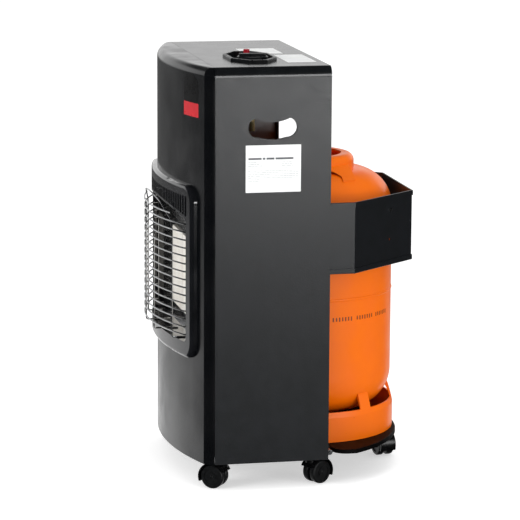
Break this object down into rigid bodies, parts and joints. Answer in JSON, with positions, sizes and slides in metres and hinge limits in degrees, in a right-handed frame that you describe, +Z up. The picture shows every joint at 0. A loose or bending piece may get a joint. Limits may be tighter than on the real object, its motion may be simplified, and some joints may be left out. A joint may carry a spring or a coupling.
{
  "type": "portable gas cabinet heater",
  "caption": "Cabinet heater on casters: bowed front with a radiant burner behind a wire guard, controls on top, gas bottle at the back on a folding tray behind a rear guard.",
  "frame": {"origin": "centre of the footprint's bounding box, on the floor under the casters", "axes": "+Z up; the radiant front faces -Y; +X is the heater's own left side"},
  "size_m": [0.42, 0.4429, 0.723],
  "materials": {
    "cabinet_paint": "fine-textured dark grey powder coat",
    "surround_enamel": "glossy black enamel",
    "chromed_wire": "bright chromed wire",
    "polished_reflector": "bright rolled sheet",
    "plated_steel": "zinc-plated sheet",
    "burner_ceramic": "unglazed cream ceramic",
    "brass": "turned",
    "pipe_metal": "drawn tube",
    "cast_aluminium": "die cast",
    "black_plastic": "glossy moulded",
    "red_plastic": "glossy moulded",
    "lead_rubber": "smooth insulation",
    "bright_steel": "turned",
    "tray_paint": "semi-gloss black",
    "bottle_paint": "semi-gloss orange",
    "caster_plastic": "glossy moulded",
    "wheel_rubber": "hard moulded tread"
  },
  "bodies": {
    "cabinet": {"base_plate": "cabinet_paint", "burner_box": "plated_steel", "burner_brackets": "plated_steel", "burner_surround": "surround_enamel", "cabinet_screws": "bright_steel", "caster_plate_screws": "bright_steel", "caster_plates": "plated_steel", "ceramic_plaques": "burner_ceramic", "control_panel": "black_plastic", "front_shell": "cabinet_paint", "gas_pipes": "pipe_metal", "gas_rail": "pipe_metal", "gas_valve": "cast_aluminium", "heat_shield": "plated_steel", "hinge_brackets": "plated_steel", "hose_inlet": "brass", "igniter_electrode": "burner_ceramic", "ignition_lead": "lead_rubber", "injectors": "brass", "mixing_tubes": "plated_steel", "piezo_igniter": "black_plastic", "pilot_burner": "plated_steel", "reflector": "polished_reflector", "side_panel_left": "cabinet_paint", "side_panel_right": "cabinet_paint", "thermocouple": "pipe_metal", "top_cover": "cabinet_paint", "wire_guard": "chromed_wire"},
    "spindle": {"valve_spindle": "bright_steel"},
    "knob": {"control_knob": "black_plastic"},
    "button": {"igniter_button": "red_plastic"},
    "tray": {"tray": "tray_paint", "tray_pins": "bright_steel", "tray_caster_plate": "plated_steel"},
    "guard": {"rear_guard": "cabinet_paint", "guard_fixings": "bright_steel"},
    "bottle": {"bottle_body": "bottle_paint", "bottle_foot_ring": "bottle_paint", "bottle_collar": "bottle_paint", "bottle_valve": "brass"},
    "front_left_swivel": {"caster_front_left_hood": "caster_plastic", "caster_front_left_pins": "bright_steel"},
    "front_left_wheel_a": {"caster_front_left_wheel_a": "wheel_rubber"},
    "front_left_wheel_b": {"caster_front_left_wheel_b": "wheel_rubber"},
    "front_right_swivel": {"caster_front_right_hood": "caster_plastic", "caster_front_right_pins": "bright_steel"},
    "front_right_wheel_a": {"caster_front_right_wheel_a": "wheel_rubber"},
    "front_right_wheel_b": {"caster_front_right_wheel_b": "wheel_rubber"},
    "rear_left_swivel": {"caster_rear_left_hood": "caster_plastic", "caster_rear_left_pins": "bright_steel"},
    "rear_left_wheel_a": {"caster_rear_left_wheel_a": "wheel_rubber"},
    "rear_left_wheel_b": {"caster_rear_left_wheel_b": "wheel_rubber"},
    "rear_right_swivel": {"caster_rear_right_hood": "caster_plastic", "caster_rear_right_pins": "bright_steel"},
    "rear_right_wheel_a": {"caster_rear_right_wheel_a": "wheel_rubber"},
    "rear_right_wheel_b": {"caster_rear_right_wheel_b": "wheel_rubber"},
    "tray_swivel": {"caster_tray_hood": "caster_plastic", "caster_tray_pins": "bright_steel"},
    "tray_wheel_a": {"caster_tray_wheel_a": "wheel_rubber"},
    "tray_wheel_b": {"caster_tray_wheel_b": "wheel_rubber"}
  },
  "joints": [
    {"name": "front_left_swivel", "type": "hinge", "parent": "cabinet", "child": "front_left_swivel", "pos_m": [0.182, -0.12515, 0.05], "axis": [0, 0, 1], "continuous": true},
    {"name": "front_left_roll_a", "type": "hinge", "parent": "front_left_swivel", "child": "front_left_wheel_a", "pos_m": [0.17397, -0.13662, 0.02], "axis": [-0.8192, 0.5736, 0], "continuous": true},
    {"name": "front_left_roll_b", "type": "hinge", "parent": "front_left_swivel", "child": "front_left_wheel_b", "pos_m": [0.17397, -0.13662, 0.02], "axis": [-0.8192, 0.5736, 0], "continuous": true},
    {"name": "front_right_swivel", "type": "hinge", "parent": "cabinet", "child": "front_right_swivel", "pos_m": [-0.182, -0.12515, 0.05], "axis": [0, 0, 1], "continuous": true},
    {"name": "front_right_roll_a", "type": "hinge", "parent": "front_right_swivel", "child": "front_right_wheel_a", "pos_m": [-0.175, -0.13727, 0.02], "axis": [-0.866, -0.5, 0], "continuous": true},
    {"name": "front_right_roll_b", "type": "hinge", "parent": "front_right_swivel", "child": "front_right_wheel_b", "pos_m": [-0.175, -0.13727, 0.02], "axis": [-0.866, -0.5, 0], "continuous": true},
    {"name": "rear_left_swivel", "type": "hinge", "parent": "cabinet", "child": "rear_left_swivel", "pos_m": [0.182, 0.02685, 0.05], "axis": [0, 0, 1], "continuous": true},
    {"name": "rear_left_roll_a", "type": "hinge", "parent": "rear_left_swivel", "child": "rear_left_wheel_a", "pos_m": [0.17521, 0.03909, 0.02], "axis": [0.8746, 0.4848, 0], "continuous": true},
    {"name": "rear_left_roll_b", "type": "hinge", "parent": "rear_left_swivel", "child": "rear_left_wheel_b", "pos_m": [0.17521, 0.03909, 0.02], "axis": [0.8746, 0.4848, 0], "continuous": true},
    {"name": "rear_right_swivel", "type": "hinge", "parent": "cabinet", "child": "rear_right_swivel", "pos_m": [-0.182, 0.02685, 0.05], "axis": [0, 0, 1], "continuous": true},
    {"name": "rear_right_roll_a", "type": "hinge", "parent": "rear_right_swivel", "child": "rear_right_wheel_a", "pos_m": [-0.173, 0.03757, 0.02], "axis": [0.766, -0.6428, 0], "continuous": true},
    {"name": "rear_right_roll_b", "type": "hinge", "parent": "rear_right_swivel", "child": "rear_right_wheel_b", "pos_m": [-0.173, 0.03757, 0.02], "axis": [0.766, -0.6428, 0], "continuous": true},
    {"name": "tray_swivel", "type": "hinge", "parent": "tray", "child": "tray_swivel", "pos_m": [0, 0.19285, 0.05], "axis": [0, 0, 1], "continuous": true},
    {"name": "tray_roll_a", "type": "hinge", "parent": "tray_swivel", "child": "tray_wheel_a", "pos_m": [0.01369, 0.19576, 0.02], "axis": [0.2079, -0.9781, 0], "continuous": true},
    {"name": "tray_roll_b", "type": "hinge", "parent": "tray_swivel", "child": "tray_wheel_b", "pos_m": [0.01369, 0.19576, 0.02], "axis": [0.2079, -0.9781, 0], "continuous": true},
    {"name": "knob_turn", "type": "hinge", "parent": "cabinet", "child": "spindle", "pos_m": [0.0845, -0.05615, 0.69], "axis": [0, 0, 1], "range_deg": [0, 210]},
    {"name": "knob_push", "type": "slide", "parent": "spindle", "child": "knob", "axis": [0, 0, -1], "range_m": [0, 0.004], "stiffness_N_per_m": 1500},
    {"name": "button_push", "type": "slide", "parent": "cabinet", "child": "button", "axis": [0, 0, -1], "range_m": [0, 0.003], "stiffness_N_per_m": 1500},
    {"name": "bottle_out", "type": "slide", "parent": "cabinet", "child": "bottle", "axis": [0, 0.8291, 0.5591], "range_m": [0, 0.5187]},
    {"name": "guard_off", "type": "slide", "parent": "cabinet", "child": "guard", "axis": [0, 0.8291, 0.5591], "range_m": [0, 0.5829]},
    {"name": "tray_fold", "type": "hinge", "parent": "cabinet", "child": "tray", "pos_m": [0, 0.05685, 0.056], "axis": [1, 0, 0], "range_deg": [0, 90]}
  ],
  "couplings": [
    {"joint": "guard_off", "follows": "bottle_out", "ratio": 1.12},
    {"joint": "tray_fold", "follows": "bottle_out", "rad_per_m": 3.0182}
  ]
}
